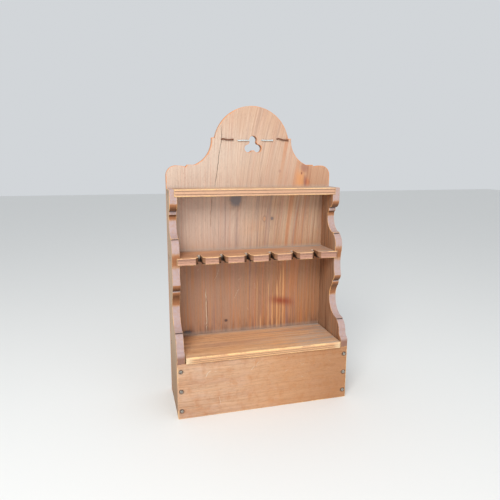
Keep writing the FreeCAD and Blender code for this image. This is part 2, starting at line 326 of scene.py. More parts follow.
class Face:
    """One broad face of a board, filled between its rims with fine points that carry its relief."""

    def __init__(self, shell, level, outward, spacing, seed):
        self.shell = shell
        self.level = level
        self.outward = outward  # +1 for the good face, -1 for the other one
        self.spacing = spacing
        self.seed = seed
        self.rims = []  # rows of point numbers, and where they are
        self.flat = []
        self.known = []
        self.edges = []

    def height(self, p, sunk=0.0):
        return self.level + self.outward * (planed(p, self.seed) - sunk)

    def add_rim(self, row, spots):
        self.rims.append(spots)
        self.add_ring(row, spots)

    def add_ring(self, row, spots):
        first = len(self.flat)
        count = len(row)
        self.flat += spots
        self.known += row
        self.edges += [(first + i, first + (i + 1) % count) for i in range(count)]

    def add_points(self, spots, sunk=0.0, **marks):
        self.flat += spots
        self.known += [self.shell.add(p, self.height(p, sunk), **marks) for p in spots]

    def add_line(self, line):
        """Three rows that share their tips: two sides at the face's level and a sunk middle."""
        path = line.path
        last = len(path) - 1
        rows = {-1: [], 0: [], 1: []}
        for i, p in enumerate(path):
            if i in (0, last):
                self.add_points([p])
                for row in rows.values():
                    row.append(len(self.flat) - 1)
                continue
            along = (path[i + 1] - path[i - 1]).normalized()
            sideways = Vector((-along.y, along.x)) * line.half_width * line.share(i)
            for side, row in rows.items():
                sunk, share = (0, 0.25) if side else (line.depth * line.share(i), 1)
                self.add_points([p + sideways * side], sunk=sunk, line=line.tone * share)
                row.append(len(self.flat) - 1)
        for row in rows.values():
            self.edges += list(zip(row, row[1:]))

    def add_nail(self, nail):
        ring = nail.ring(1.0)
        top = [self.shell.add(p, self.height(p), stain=1.0) for p in ring]
        self.add_ring(top, ring)
        low = self.height(nail.spot, RECESS_DEPTH)
        floor = [self.shell.add(p, low, stain=1.0) for p in ring]
        middle = self.shell.add(nail.spot, low, stain=1.0)
        self.shell.join(top, floor)
        self.shell.faces += [(a, middle, b) for a, b in zip(floor, floor[1:] + floor[:1])]
        for reach, stain in ((1.35, 0.7), (1.8, 0.25), (2.4, 0.0)):
            points = nail.ring(reach)
            kept = inside(np.array([tuple(p) for p in points]), self.rim_outlines(0.4))
            self.add_points([p for p, keep in zip(points, kept) if keep], stain=stain)
        return ring

    def rim_outlines(self, margin=0.0):
        """The rims as plain points; with a margin, a little smaller than they are."""
        outlines = []
        for rim in self.rims:
            inward = inward_directions(rim) if margin else [Vector((0, 0))] * len(rim)
            outlines.append([tuple(p + step * margin) for p, step in zip(rim, inward)])
        return outlines

    def grid(self, lines, nails):
        """Jittered points over the face, clear of its rims, lines and nails."""
        outer = self.rims[0]
        step_u, step_v = self.spacing
        us = np.arange(min(p.x for p in outer) + step_u, max(p.x for p in outer), step_u)
        vs = np.arange(min(p.y for p in outer) + step_v / 2, max(p.y for p in outer), step_v)
        uu, vv = np.meshgrid(us, vs)
        jitter = np.random.default_rng(round(self.seed * 100) + (self.outward > 0))
        points = np.stack([uu.ravel(), vv.ravel()], 1)
        points += jitter.uniform(-0.3, 0.3, points.shape) * (step_u, step_v)
        points = points[inside(points, self.rim_outlines(0.6))]
        for line in lines:
            for p in line.path:
                away = np.abs(points - (p.x, p.y)) / (line.half_width + 0.5 * step_u, 1.6)
                points = points[away.max(1) > 1]
        for nail in nails:
            away = np.hypot(points[:, 0] - nail.spot.x, points[:, 1] - nail.spot.y)
            points = points[away > 2.5 * nail.radius]
        return [Vector(p) for p in points]

    def fill(self, lines, nails):
        holes = [[tuple(p) for p in self.add_nail(nail)] for nail in nails]
        for line in lines:
            self.add_line(line)
        self.add_points(self.grid(lines, nails))
        squeeze = self.spacing[0] / self.spacing[1]
        flat = [Vector((p.x, p.y * squeeze)) for p in self.flat]
        spots, _, triangles, origins, _, _ = delaunay_2d_cdt(flat, self.edges, [], 0, 1e-5, True)
        numbers = []
        for spot, origin in zip(spots, origins):
            if origin:
                numbers.append(self.known[origin[0]])
            else:
                p = Vector((spot.x, spot.y / squeeze))
                numbers.append(self.shell.add(p, self.height(p)))
        corners = np.array([[tuple(spots[i]) for i in triangle] for triangle in triangles])
        middles = corners.mean(1) / (1, squeeze)
        kept = inside(middles, self.rim_outlines() + holes)
        self.shell.faces += [tuple(numbers[i] for i in t) for t, keep in zip(triangles, kept) if keep]


def slab(board, loops, seed, spacing=(1.2, 7.5), rear_spacing=None, radius=None,
         lines=(), nails=(), rear_nails=(), grooves=()):
    """A whole board: worn arrises round every outline, rough edges, and two faces with relief.

    grooves are fine lines along the edges, each a share of the thickness from the good face and a depth.
    """
    shell = Shell(board.axes)
    low, high = board.low.z, board.high.z
    front = Face(shell, high, 1, spacing, seed)
    rear = Face(shell, low, -1, rear_spacing or spacing, seed + 50)
    walls = max(2, round((high - low) / WALL_STEP))
    wall_rows = {k / walls: 0.0 for k in range(1, walls)}
    for share, depth in grooves:
        wall_rows = {at: sunk for at, sunk in wall_rows.items() if abs(at - share) > GROOVE_CLEAR}
        wall_rows |= {share + off: sunk for off, sunk in (*GROOVE, (0, depth))}
    for loop in loops:
        spots = resampled(loop, RIM_STEP)
        inward = inward_directions(spots)
        count = len(spots)
        steps = [spots[(i + 1) % count] - spots[i] for i in range(count)]
        room = [min(steps[i - 1].length, steps[i].length) for i in range(count)]
        bends = [turn(steps[i], steps[i - 1]) for i in range(count)]  # above 0 at a corner that sticks out
        rows = []

        def moved_in(insets):
            return [p + step * inset for p, step, inset in zip(spots, inward, insets)]

        def add_row(insets, levels, wear, rim, dirt=0.0):
            row = []
            for p, level, bend in zip(moved_in(insets), levels, bends):
                jutting, hollow = (min(1.0, max(0.0, sharp - 0.3)) for sharp in (bend, -bend))
                worn = max(wear, 0.9 * jutting * rim) * (0.85 + 0.6 * wave(p.x, p.y, 22, 22, seed + 3))
                # inward corners of the outline are marked for near-black paint
                dirty = max(dirt, 1.3 * hollow * rim)
                row.append(shell.add(p, level, wear=max(0.0, worn), rim=rim, dirt=dirty))
            rows.append(row)

        def arris(face, sign):
            """Rows over one arris, from the face to the wall, with the first row's spots and the radii."""
            made = len(rows)
            radii = []
            for p, gap in zip(spots, room):
                base = radius(p, sign) if radius else ARRIS_RADIUS
                worn = 1 + 0.4 * wave(p.x, p.y, 14, 14, seed + 5)
                worn += 0.35 * wave(p.x, p.y, 4.5, 4.5, seed + 9)
                radii.append(min(base * worn, 0.42 * gap) if base < SHAPED_RADIUS else base)
            supports = [r + min(SUPPORT, 0.4 * gap) for r, gap in zip(radii, room)]
            held = moved_in(supports)
            add_row(supports, [face.height(p) for p in held], 0.3, 0.0)
            for k in range(ARRIS_STEPS + 1):
                angle = math.pi / 2 * k / ARRIS_STEPS
                insets = [r * (1 - math.sin(angle)) for r in radii]
                levels = []
                for p, r in zip(moved_in(insets), radii):
                    relief = (face.height(p) - face.level) * math.cos(angle)
                    levels.append(face.level + relief - sign * r * (1 - math.cos(angle)))
                add_row(insets, levels, 0.55 + 0.45 * math.sin(2 * angle), k / ARRIS_STEPS)
            made_rows = rows[made:]
            del rows[made:]
            return made_rows, held, radii

        front_rows, front_spots, front_radii = arris(front, 1)
        rear_rows, rear_spots, rear_radii = arris(rear, -1)
        rows += front_rows
        for share, sunk in sorted(wall_rows.items()):
            insets, levels = [], []
            for i, p in enumerate(spots):
                down = share * (high - low)
                rough = 0.12 * wave(down, i * RIM_STEP, 9, 16, seed + 31)
                rough += 0.06 * wave(down, i * RIM_STEP, 4, 5, seed + 37)
                scored = 0.6 + 0.5 * wave(i * RIM_STEP, seed, 30, 1, 4.5)
                insets.append(abs(rough) + sunk * scored)
                levels.append((high - front_radii[i]) * (1 - share) + (low + rear_radii[i]) * share)
            # the grooves' rows are marked for near-black paint
            add_row(insets, levels, 0.0, 1.0, min(1.0, sunk * 3.5))
        rows += rear_rows[::-1]
        for upper, lower in zip(rows, rows[1:]):
            shell.join(upper, lower)
        front.add_rim(rows[0], front_spots)
        rear.add_rim(rows[-1], rear_spots)
    front.fill(lines, nails)
    rear.fill((), rear_nails)
    return shell.make("pine_" + board.node)


def cut_housings(piece):
    """Cuts the places for the shelves' ends out of a side, a hair larger than the shelves themselves."""
    for shelf in ("top_shelf", "pipe_shelf"):
        low, high = (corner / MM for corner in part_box(shelf))
        low -= Vector((PLAY, OPEN_FRONT, PLAY))
        high += Vector((PLAY, PLAY, PLAY))
        if shelf == "top_shelf":
            high.z += OPEN_TOP
        shape = bmesh.new()
        bmesh.ops.create_cube(shape, size=1)
        for vertex in shape.verts:
            share = vertex.co + Vector((0.5, 0.5, 0.5))
            vertex.co = Vector(low[i] + (high[i] - low[i]) * share[i] for i in range(3)) * MM
        mesh = bpy.data.meshes.new("cutter")
        shape.to_mesh(mesh)
        shape.free()
        cutter = link("cutter", mesh)
        cut = piece.modifiers.new("housing", "BOOLEAN")
        cut.operation = "DIFFERENCE"
        cut.solver = "EXACT"
        cut.object = cutter
        evaluated = piece.evaluated_get(bpy.context.evaluated_depsgraph_get())
        cut_mesh = bpy.data.meshes.new_from_object(evaluated)
        piece.modifiers.remove(cut)
        piece.data = cut_mesh
        bpy.data.objects.remove(cutter)
    piece.data.shade_smooth()
    piece.data.set_sharp_from_angle(angle=math.radians(50))


# ======== Nails and hooks ========
def solids_of(node):
    """The separate solids of a CAD node, each as its points in millimetres."""
    shape = bmesh.new()
    shape.from_mesh(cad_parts[node].data)
    bmesh.ops.remove_doubles(shape, verts=shape.verts, dist=1e-6)
    waiting = set(shape.verts)
    found = []
    while waiting:
        group = [waiting.pop()]
        for vertex in group:
            for edge in vertex.link_edges:
                other = edge.other_vert(vertex)
                if other in waiting:
                    waiting.remove(other)
                    group.append(other)
        found.append([v.co / MM for v in group])
    shape.free()
    return sorted(found, key=lambda points: (round(points[0].z, 2), round(points[0].x, 2)))


class NailShape:
    """A CAD nail read from the frame: where its head is, how it is driven, and its sizes."""

    def __init__(self, points, driven):
        reach = [p.dot(driven) for p in points]
        self.driven = driven
        self.length = max(reach) - min(reach)
        head = [p for p, r in zip(points, reach) if r - min(reach) < 0.01]
        low = Vector(min(p[i] for p in head) for i in range(3))
        high = Vector(max(p[i] for p in head) for i in range(3))
        self.head = (low + high) / 2
        self.head_radius = max(high - low) / 2
        shares = [(r - min(reach)) / self.length for r in reach]
        shank = [p for p, share in zip(points, shares) if 0.3 < share < 0.95] or head
        self.radius = max((p - self.head - driven * (p - self.head).dot(driven)).length for p in shank)


def nails_of(node, driven):
    return [NailShape(points, driven) for points in solids_of(node)]


def join_rings(shape, rows):
    """Quads between closed rows of vertices, and a face over the first row."""
    for upper, lower in zip(rows, rows[1:]):
        for i, vertex in enumerate(upper):
            j = (i + 1) % len(upper)
            shape.faces.new((vertex, upper[j], lower[j], lower[i]))
    shape.faces.new(rows[0][::-1])


def smooth_piece(name, shape):
    bmesh.ops.recalc_face_normals(shape, faces=shape.faces)
    mesh = bpy.data.meshes.new(name)
    shape.to_mesh(mesh)
    shape.free()
    mesh.shade_smooth()
    return link(name, mesh)


def ring(shape, middle, across, upward, sides, radius):
    """A closed row of vertices; radius says how far out they are in each direction."""
    row = []
    for i in range(sides):
        angle = math.tau * i / sides
        direction = across * math.cos(angle) + upward * math.sin(angle)
        row.append(shape.verts.new((middle + direction * radius(direction)) * MM))
    return row


def revolved(shape, start, axis, profile, seed, roughness):
    """Adds an uneven, slightly oval turned form: rings of (distance along the axis, radius)."""
    across = axis.orthogonal().normalized()
    upward = axis.cross(across)
    rows = []
    for distance, size in profile:
        place = Vector((seed, distance * 0.35, 0))

        def radius(direction):
            return size * (1 + roughness * noise.noise(direction * 1.7 + place))

        rows.append(ring(shape, start + axis * distance, across * 0.9, upward, RING_POINTS, radius))
    join_rings(shape, rows)
    shape.faces.new(rows[-1])


def make_nails(node, nails, seed):
    """All the nails of a node as one piece: hammered heads, uneven slightly oval shanks and blunt points.
    """
    dome, battered = (BOX_NAIL_DOME, 0.34) if node.startswith("box_front") else (NAIL_DOME, 0.16)
    shape = bmesh.new()
    for number, nail in enumerate(nails):
        r = nail.head_radius
        under = HEAD_THICKNESS + dome
        tip = nail.length + dome
        profile = [(0.0, 0.25 * r), (0.06 * r + 0.02, 0.55 * r), (0.12 * r + 0.03, 0.8 * r)]
        profile += [(0.25 + dome * 0.6, 0.97 * r), (0.5 + dome, r)]
        profile += [(0.75 * HEAD_THICKNESS + dome, 0.98 * r), (under, 0.8 * r)]
        profile.append((under + 0.3, nail.radius * 1.05))
        profile += [(HEAD_THICKNESS + 6 + k * (tip - 12) / 4, nail.radius) for k in range(4)]
        profile += [(tip - 4, nail.radius * 0.95), (tip - 1.5, nail.radius * 0.5), (tip, nail.radius * 0.2)]
        start = nail.head - nail.driven * dome
        revolved(shape, start, nail.driven, profile, seed + number * 3.7, battered)
    return smooth_piece("made_" + node, shape)


def smooth_path(points, pieces):
    """Catmull-Rom points through a path."""
    ends = [2 * points[0] - points[1]] + points + [2 * points[-1] - points[-2]]
    found = []
    for a, b, c, d in zip(ends, ends[1:], ends[2:], ends[3:]):
        for k in range(pieces):
            t = k / pieces
            found.append(hermite(b, c, (c - a) / 2, (d - b) / 2, t))
    return found + [points[-1]]


def wire(name, path, flattened, seed):
    """An uneven bent wire with a flattened end."""
    spots = smooth_path(path, 7)
    last = len(spots) - 1
    shape = bmesh.new()
    rows = []
    across = (spots[1] - spots[0]).orthogonal().normalized()
    for i, p in enumerate(spots):
        along = (spots[min(i + 1, last)] - spots[max(i - 1, 0)]).normalized()
        across = (across - along * across.dot(along)).normalized()
        share = i / last
        end = max(0.0, (share - 0.86) / 0.14)

        def radius(direction):
            pitted = 1 + 0.13 * noise.noise(direction * 1.3 + Vector((share * 14, seed, 0)))
            return WIRE_RADIUS * pitted * (1 + flattened * end * abs(direction.z))

        rows.append(ring(shape, p, across, along.cross(across), WIRE_SIDES, radius))
    join_rings(shape, rows)
    tip = shape.verts.new((spots[-1] + (spots[-1] - spots[-2]).normalized() * WIRE_RADIUS * 0.5) * MM)
    for k in range(WIRE_SIDES):
        shape.faces.new((rows[-1][k], rows[-1][(k + 1) % WIRE_SIDES], tip))
    return smooth_piece(name, shape)


# ======== Materials ========
def tone(*display):
    """A display colour from 0 to 255 as the linear colour a shader takes."""
    linear = [c / 255 / 12.92 if c < 10.3 else ((c / 255 + 0.055) / 1.055) ** 2.4 for c in display]
    return (*linear, 1.0)


class Wire:
    """A value inside a shader, which can be used in sums."""

    def __init__(self, shader, socket):
        self.shader = shader
        self.socket = socket

    def __add__(self, other):
        return self.shader.math("ADD", self, other)

    def __sub__(self, other):
        return self.shader.math("SUBTRACT", self, other)

    def __rsub__(self, other):
        return self.shader.math("SUBTRACT", other, self)

    def __mul__(self, other):
        return self.shader.math("MULTIPLY", self, other)

    def __truediv__(self, other):
        return self.shader.math("DIVIDE", self, other)

    __radd__ = __add__
    __rmul__ = __mul__


class Shader:
    """Builds one material out of nodes."""

    def __init__(self, name):
        self.material = bpy.data.materials.new(name)
        self.material.use_nodes = True
        self.tree = self.material.node_tree
        self.tree.nodes.clear()
        place = self.add("SeparateXYZ", self.add("TexCoord", output="Object")).socket.node
        facing = self.add("SeparateXYZ", self.add("TexCoord", output="Normal")).socket.node
        self.x, self.y, self.z = (Wire(self, output) * 1000.0 for output in place.outputs)
        self.facing = {axis: Wire(self, output) for axis, output in zip("xyz", facing.outputs)}

    def add(self, kind, *inputs, output=0, **settings):
        node = self.tree.nodes.new("ShaderNode" + kind)
        for key, value in settings.items():
            setattr(node, key, value)
        for socket, value in zip(node.inputs, inputs):
            self.feed(socket, value)
        return Wire(self, node.outputs[output])

    def feed(self, socket, value):
        if isinstance(value, Wire):
            self.tree.links.new(socket, value.socket)
        elif value is not None:
            socket.default_value = value

    def math(self, operation, *values):
        return self.add("Math", *values, operation=operation)

    def step(self, value, low, high):
        """0 below low, 1 above high and smooth between; or the other way round if low is the larger."""
        return self.add("MapRange", value, low, high, 0.0, 1.0, interpolation_type="SMOOTHSTEP")

    def band(self, value, low, high, soft):
        return self.step(value, low - soft, low + soft) * self.step(value, high + soft, high - soft)

    def noise(self, a, b, c, detail=2.0, roughness=0.5):
        return self.add("TexNoise", self.add("CombineXYZ", a, b, c), None, 1.0, detail, roughness)

    def attribute(self, name):
        return self.add("Attribute", output="Fac", attribute_name=name)

    def mix(self, share, first, second):
        unused = [None] * 5
        return self.add("Mix", share, *unused, first, second, output=2, data_type="RGBA")

    def scale(self, colour, share):
        return self.add("VectorMath", colour, None, None, share, operation="SCALE")

    def finish(self, colour, roughness, height, bump_depth, metallic=0.0, specular=0.4):
        surface = self.tree.nodes.new("ShaderNodeBsdfPrincipled")
        values = (colour, roughness, metallic, specular)
        for socket, value in zip(("Base Color", "Roughness", "Metallic", "Specular IOR Level"), values):
            self.feed(surface.inputs[socket], value)
        bump = self.tree.nodes.new("ShaderNodeBump")
        bump.inputs["Strength"].default_value = 1.0
        bump.inputs["Distance"].default_value = bump_depth * MM
        self.feed(bump.inputs["Height"], height)
        self.tree.links.new(surface.inputs["Normal"], bump.outputs["Normal"])
        output = self.tree.nodes.new("ShaderNodeOutputMaterial")
        self.tree.links.new(output.inputs["Surface"], surface.outputs[0])
        return self.material


class Wood(Shader):
    """Old pine: growth rings cut through by the board's faces, streaks, pores, worn arrises, dust, painted
    sheen and painted shade.
    """

    def __init__(self, name, axes, seed):
        """axes names the directions along the grain, across it and through the board."""
        super().__init__(name)
        self.along, self.across, self.depth = (getattr(self, axis) for axis in axes)
        self.edge = self.step(self.attribute("rim"), 0.5, 1)
        self.seed = seed

    def knot(self, across, along, wide, tall):
        """Distance from a knot's middle in shares of its size, slightly uneven."""
        a = (self.across - across) / wide
        g = (self.along - along) / tall
        uneven = self.noise(self.across / 5, self.along / 7, self.seed) * 0.5 + 0.75
        return self.math("SQRT", a * a + g * g) * uneven

    def grain(self, heart, spacing, knots=(), bend=0, sway=10):
        """Works out the rings and streaks. heart is the tree's middle, (across, depth), and bend is how far
        the grain leans over by the top of the board."""
        seed = self.seed
        wide = self.noise(self.across / 75, self.along / 230, seed + 1.3, 1) - 0.5
        near = self.noise(self.across / 18, self.along / 110, seed + 4.1, 1) - 0.5
        lean = self.math("MAXIMUM", (self.along - 200) / 400, 0)
        slant = self.step(self.across, -70, 70) * bend + 0.2 * bend
        self.bent = self.across - lean * lean * slant if bend else self.across
        across = self.bent + wide * sway + near * 1.8
        a = across - heart[0]
        d = self.depth - heart[1] + wide * (0.6 * sway)
        distance = self.math("SQRT", a * a + d * d) + near * 1.2
        for k_across, k_along, k_wide, k_tall, *_ in knots:
            away = self.knot(k_across, k_along, k_wide * 1.6, k_tall * 2.2)
            distance = distance + self.math("DIVIDE", k_wide * 1.3, away * away * 1.5 + 1)
        phase = distance / spacing
        ring = self.math("FRACT", phase)
        number = self.math("FLOOR", phase)
        strength = self.add("TexWhiteNoise", None, number + seed, noise_dimensions="1D")
        self.late = self.step(ring, 0.15, 0.9) * self.step(ring, 1, 0.93) * (strength * 0.7 + 0.3)
        self.streaks = self.noise(across / 9, self.along / 330, seed + 9, 2)
        self.broad = self.noise(across / 34, self.along / 420, seed + 17, 2)
        self.fine = self.noise(across / 1.5, self.along / 60, self.depth / 1.3 + seed, 3, 0.6)
        self.threads = self.noise(across / 2.9, self.along / 190, self.depth / 2.9 + seed, 2, 0.6)
        self.chips = self.noise(self.x / 5, self.y / 5, self.z / 5 + seed, 2) - 0.5
        self.pores = self.step(self.noise(across / 0.42, self.along / 8, self.depth / 0.6, 1), 0.62, 0.72)
        self.patches = self.noise(self.x / 55, self.y / 55, self.z / 55 + seed, 3)
        self.speckle = self.noise(self.x / 2.2, self.y / 2.2, self.z / 2.2, 2)

    def colours(self, light, dark, streak, patch, strength=0.6):
        """Starts the colour: the rings, then streaks, patches and fine threads along the grain."""
        self.colour = self.mix(self.late * strength, tone(*light), tone(*dark))
        self.paint(self.step(self.broad, 0.48, 0.72) * 0.55, *streak)
        self.paint(self.step(self.streaks, 0.55, 0.75) * 0.4, *streak)
        self.paint(self.step(self.patches, 0.45, 0.75) * 0.5, *patch)
        self.paint(self.step(self.threads, 0.53, 0.66) * 0.5, *dark)
        self.paint(self.step(self.threads, 0.46, 0.34) * 0.5, *light)
        self.colour = self.scale(self.colour, self.fine * 0.8 + 0.615 - self.pores * 0.2)

    def paint(self, share, red, green, blue):
        """Lays a display colour over the wood, as thick as share says."""
        self.colour = self.mix(share, self.colour, tone(red, green, blue))

    def knots(self, knots):
        for across, along, wide, tall, middle, edge, share in knots:
            away = self.knot(across, along, wide, tall) + (self.fine - 0.5) * 0.5
            self.paint(self.step(away, 1.8, 0.8) * (0.55 * share), *edge)
            self.paint(self.step(away, 1.15, 0.65) * (0.85 * share), *middle)

    def worn(self, raw, rim, rim_share, first=0.30, kept=1):
        """Edge tone, painted shade on edges that face down, dark paint along grooves and in inward corners,
        bare worn arrises, cracks, scratches and nail stains, from the mesh's own marks.
        """
        wear, line, stain, _, dirt = (self.attribute(mark) for mark in Shell.MARKS)
        self.paint(self.edge * rim_share, *rim)
        # painted shade: edges that face downwards are darkened
        self.paint(self.step(self.facing["z"], -0.05, -0.6) * self.edge * 0.75, *UNDERSIDE_SHADE)
        # near-black painted along the grooves and in the outlines' inward corners
        darkened_share = self.step(dirt + (self.speckle - 0.5) * 0.4, 0.15, 0.8)
        self.paint(darkened_share * 0.85, *DARKENED_TONE)
        bare = self.step(wear * kept + (self.speckle - 0.5) * 0.5 + self.chips * 0.8, first, first + 0.42)
        self.paint(bare * 0.9, *raw)
        self.paint(self.step(line, 0.05, 0.7) * 0.92, 52, 36, 26)
        self.paint(self.step(line, -0.1, -0.8) * 0.85, 222, 206, 184)
        rust = self.step(stain + (self.speckle - 0.5) * 0.5, 0.2, 1)
        self.paint(rust * 0.75, 74, 56, 46)

    # lays the grey of dust: real dust, and on the shelves' tops also painted sheen
    def lay_dust_and_sheen(self, share):
        speck = self.speckle * 0.5 + self.patches * 0.8 + 0.25
        self.paint(share * speck, *DUST_AND_SHEEN)

    def board_finish(self, roughness):
        height = self.fine * 0.5 - self.late * 0.25 - self.pores * 0.5 + self.speckle * 0.25
        rough = self.fine * 0.16 + (roughness - 0.08) + self.late * -0.06
        return self.finish(self.colour, rough, height, 0.32, specular=0.35)


LIGHT = (199, 167, 139)
DARK = (160, 114, 84)
STREAK = (146, 110, 96)
PATCH = (198, 148, 106)
RAW = (252, 208, 146)
# grey of dust, also used for painted sheen
DUST_AND_SHEEN = (178, 168, 158)
DUST_LINE = 50  # y from which dust lies thick on the shelves
# painted shade for edges that face downwards
UNDERSIDE_SHADE = (112, 70, 40)
# near-black for the grooves and inward corners
DARKENED_TONE = (58, 38, 28)


PALE_STREAKS = (  # place, half width, foot, head and strength of the pale streaks low on the backboard
    (14, 1.6, 118, 232, 0.5),
    (22, 2.6, 118, 150, 0.7),
    (40, 1.8, 120, 226, 0.6),
    (49, 2.2, 120, 196, 0.75),
    (60, 2.6, 118, 222, 0.85),
    (67, 1.6, 122, 250, 0.7),
    (74, 2.4, 124, 262, 0.75),
)


def backboard_wood(knots):
    s = Wood("backboard_wood", "zxy", 3)
    s.grain((30, 175), 5.2, knots, bend=40, sway=16)
    s.colours((186, 148, 116), DARK, STREAK, PATCH)
    plain = s.colour
    s.colours(LIGHT, DARK, STREAK, PATCH, 0.5)
    s.paint(s.step(s.z, 445, 425) * s.step(s.x, 70, -70) * 0.6, 208, 184, 170)
    s.paint(s.step(s.z, 330, 270) * 0.6, 156, 100, 58)
    # the part above about z 435 paler: partly real fading, partly painted light
    faded_and_lit = s.step(s.z, 430, 440)
    s.paint(faded_and_lit * 0.62, 212, 190, 172)
    # painted light: the upper part lighter on the left and darker on the right
    s.paint(s.step(s.x, 20, -100) * faded_and_lit * 0.35, 222, 204, 190)
    s.paint(s.step(s.x, -70, 110) * faded_and_lit * 0.4, 200, 150, 116)
    s.paint(s.step(s.z, 500, 590) * 0.45, 200, 156, 124)
    ticks = s.noise(s.bent / 1.7, s.z / 120, 61, 2, 0.6)
    s.paint(s.step(ticks, 0.5, 0.66) * faded_and_lit * 0.4, 184, 142, 120)
    s.paint(s.step(ticks, 0.46, 0.32) * faded_and_lit * 0.25, 234, 210, 190)
    orange = s.band(s.x, 62, 128, 12) * s.step(s.streaks, 0.42, 0.62)
    s.paint(orange * 0.42, 200, 124, 74)
    rosy = s.step(s.noise(s.bent / 5, s.z / 330, 37, 2), 0.5, 0.7)
    s.paint(rosy * (0.32 - faded_and_lit * 0.14), 198, 134, 112)
    purple = s.step(s.noise(s.bent / 7, s.z / 240, 31, 3), 0.52, 0.70) * s.band(s.x, -100, 130, 25)
    s.paint(purple * (0.4 - faded_and_lit * 0.2), 122, 98, 102)
    amber = s.step(s.noise(s.bent / 4, s.z / 200, 43, 2), 0.48, 0.64) * s.step(s.z, 330, 270)
    s.paint(amber * 0.4, 196, 126, 68)
    for x, half, foot, head, share in PALE_STREAKS:
        wander = (s.noise(s.z / 26, x, 3) - 0.5) * 3
        streak = s.step(s.math("ABSOLUTE", s.x - x + wander), half, half * 0.3)
        s.paint(streak * s.band(s.z, foot, head, 14) * (s.fine * 0.8 + 0.4) * share, 236, 178, 122)
    smear = s.z + (s.x - 70) * 0.18
    red = s.step(s.x, 30, 66) * s.step(s.x, 106, 80) * s.band(smear, 178, 190, 10)
    s.paint(red * (s.threads * 0.9 + 0.45), 142, 50, 28)
    # darker blotches painted in a band low on the backboard, about the lid's top
    darker_low_band = s.band(s.z, 112, 140, 20) * s.step(s.noise(s.x / 9, s.z / 50, 53, 3), 0.42, 0.66)
    s.paint(darker_low_band * 0.5, 94, 60, 52)
    browned = s.step(s.x, 100, 112) * faded_and_lit
    s.paint(browned * 0.45, 190, 136, 96)
    s.paint(s.step(s.threads, 0.47, 0.62) * browned * 0.5, 170, 112, 82)
    reddish = s.step(s.knot(124, 443, 6, 12), 1.3, 0.3)
    s.paint(reddish * 0.55, 196, 112, 66)
    flame = s.band(s.x, 99, 116, 6) * s.band(s.z, 432, 466, 12)
    s.paint(flame * 0.6, 232, 158, 92)
    blot = s.step(s.knot(117, 475, 9, 12), 1.3, 0.4) + s.step(s.knot(119, 446, 3.5, 13), 1.3, 0.5)
    s.paint(blot * (s.patches * 0.7 + 0.2), 150, 92, 82)
    rear = s.step(s.facing["y"], 0.2, 0.8)
    s.colour = s.mix(rear, s.colour, plain)
    s.knots(knots)
    corner = s.step(s.z, 133, 125) + s.step(s.z, 314, 306) * s.step(s.z, 298, 306)
    corner = corner + s.step(s.z, 442, 435) * faded_and_lit
    s.lay_dust_and_sheen(corner * (0.4 - rear * 0.4))
    s.worn((232, 146, 82), (196, 138, 98), 0.6, 0.3, 1 - rear * 0.7)
    return s.board_finish(0.6)


def side_wood(name, seed, inner):
    """inner is the way the inner face looks along x, which is the face that stays dark."""
    s = Wood(name, "zyx", seed)
    s.grain((20 + seed, 130 * inner), 5.5, (), sway=14)
    s.colours(LIGHT, DARK, STREAK, (184, 124, 82))
    inside_face = s.step(s.facing["x"] * inner, 0.5, 0.9)
    s.paint(inside_face * 0.5, 130, 86, 54)
    s.paint(s.step(s.threads, 0.46, 0.62) * inside_face * 0.5, 92, 58, 38)
    s.paint(s.step(s.streaks, 0.5, 0.64) * inside_face * 0.4, 176, 112, 62)
    outside_face = s.step(s.facing["x"] * -inner, 0.5, 0.9)
    s.paint(outside_face * 0.45, 180, 154, 120)
    s.paint(s.step(s.z, 170, 50) * outside_face * 0.75, 146, 104, 60)
    edge = s.step(s.attribute("rim"), 0.5, 0.9)
    # painted sheen and shade on the edges by the way they face: turned up a pale lilac sheen, turned down
    # orange-brown, steeply down near-black
    slope = s.facing["z"] + s.chips * 0.12
    s.paint(edge * 0.7, 182, 134, 104)
    s.paint(s.step(slope, -0.08, 0.01) * edge * (s.chips * 0.9 + 0.7), 184, 163, 164)
    s.paint(s.step(slope, -0.05, -0.16) * edge * 0.85, 164, 102, 60)
    s.paint(s.step(slope, -0.4, -0.85) * edge * 0.85, 74, 48, 34)
    foot = s.band(s.z, 104, 127, 5) * s.step(s.facing["y"], -0.3, -0.8)
    s.paint(foot * edge * 0.75, 134, 86, 58)
    s.worn((236, 182, 120), (186, 142, 120), 0, 0.52)
    return s.board_finish(0.56)


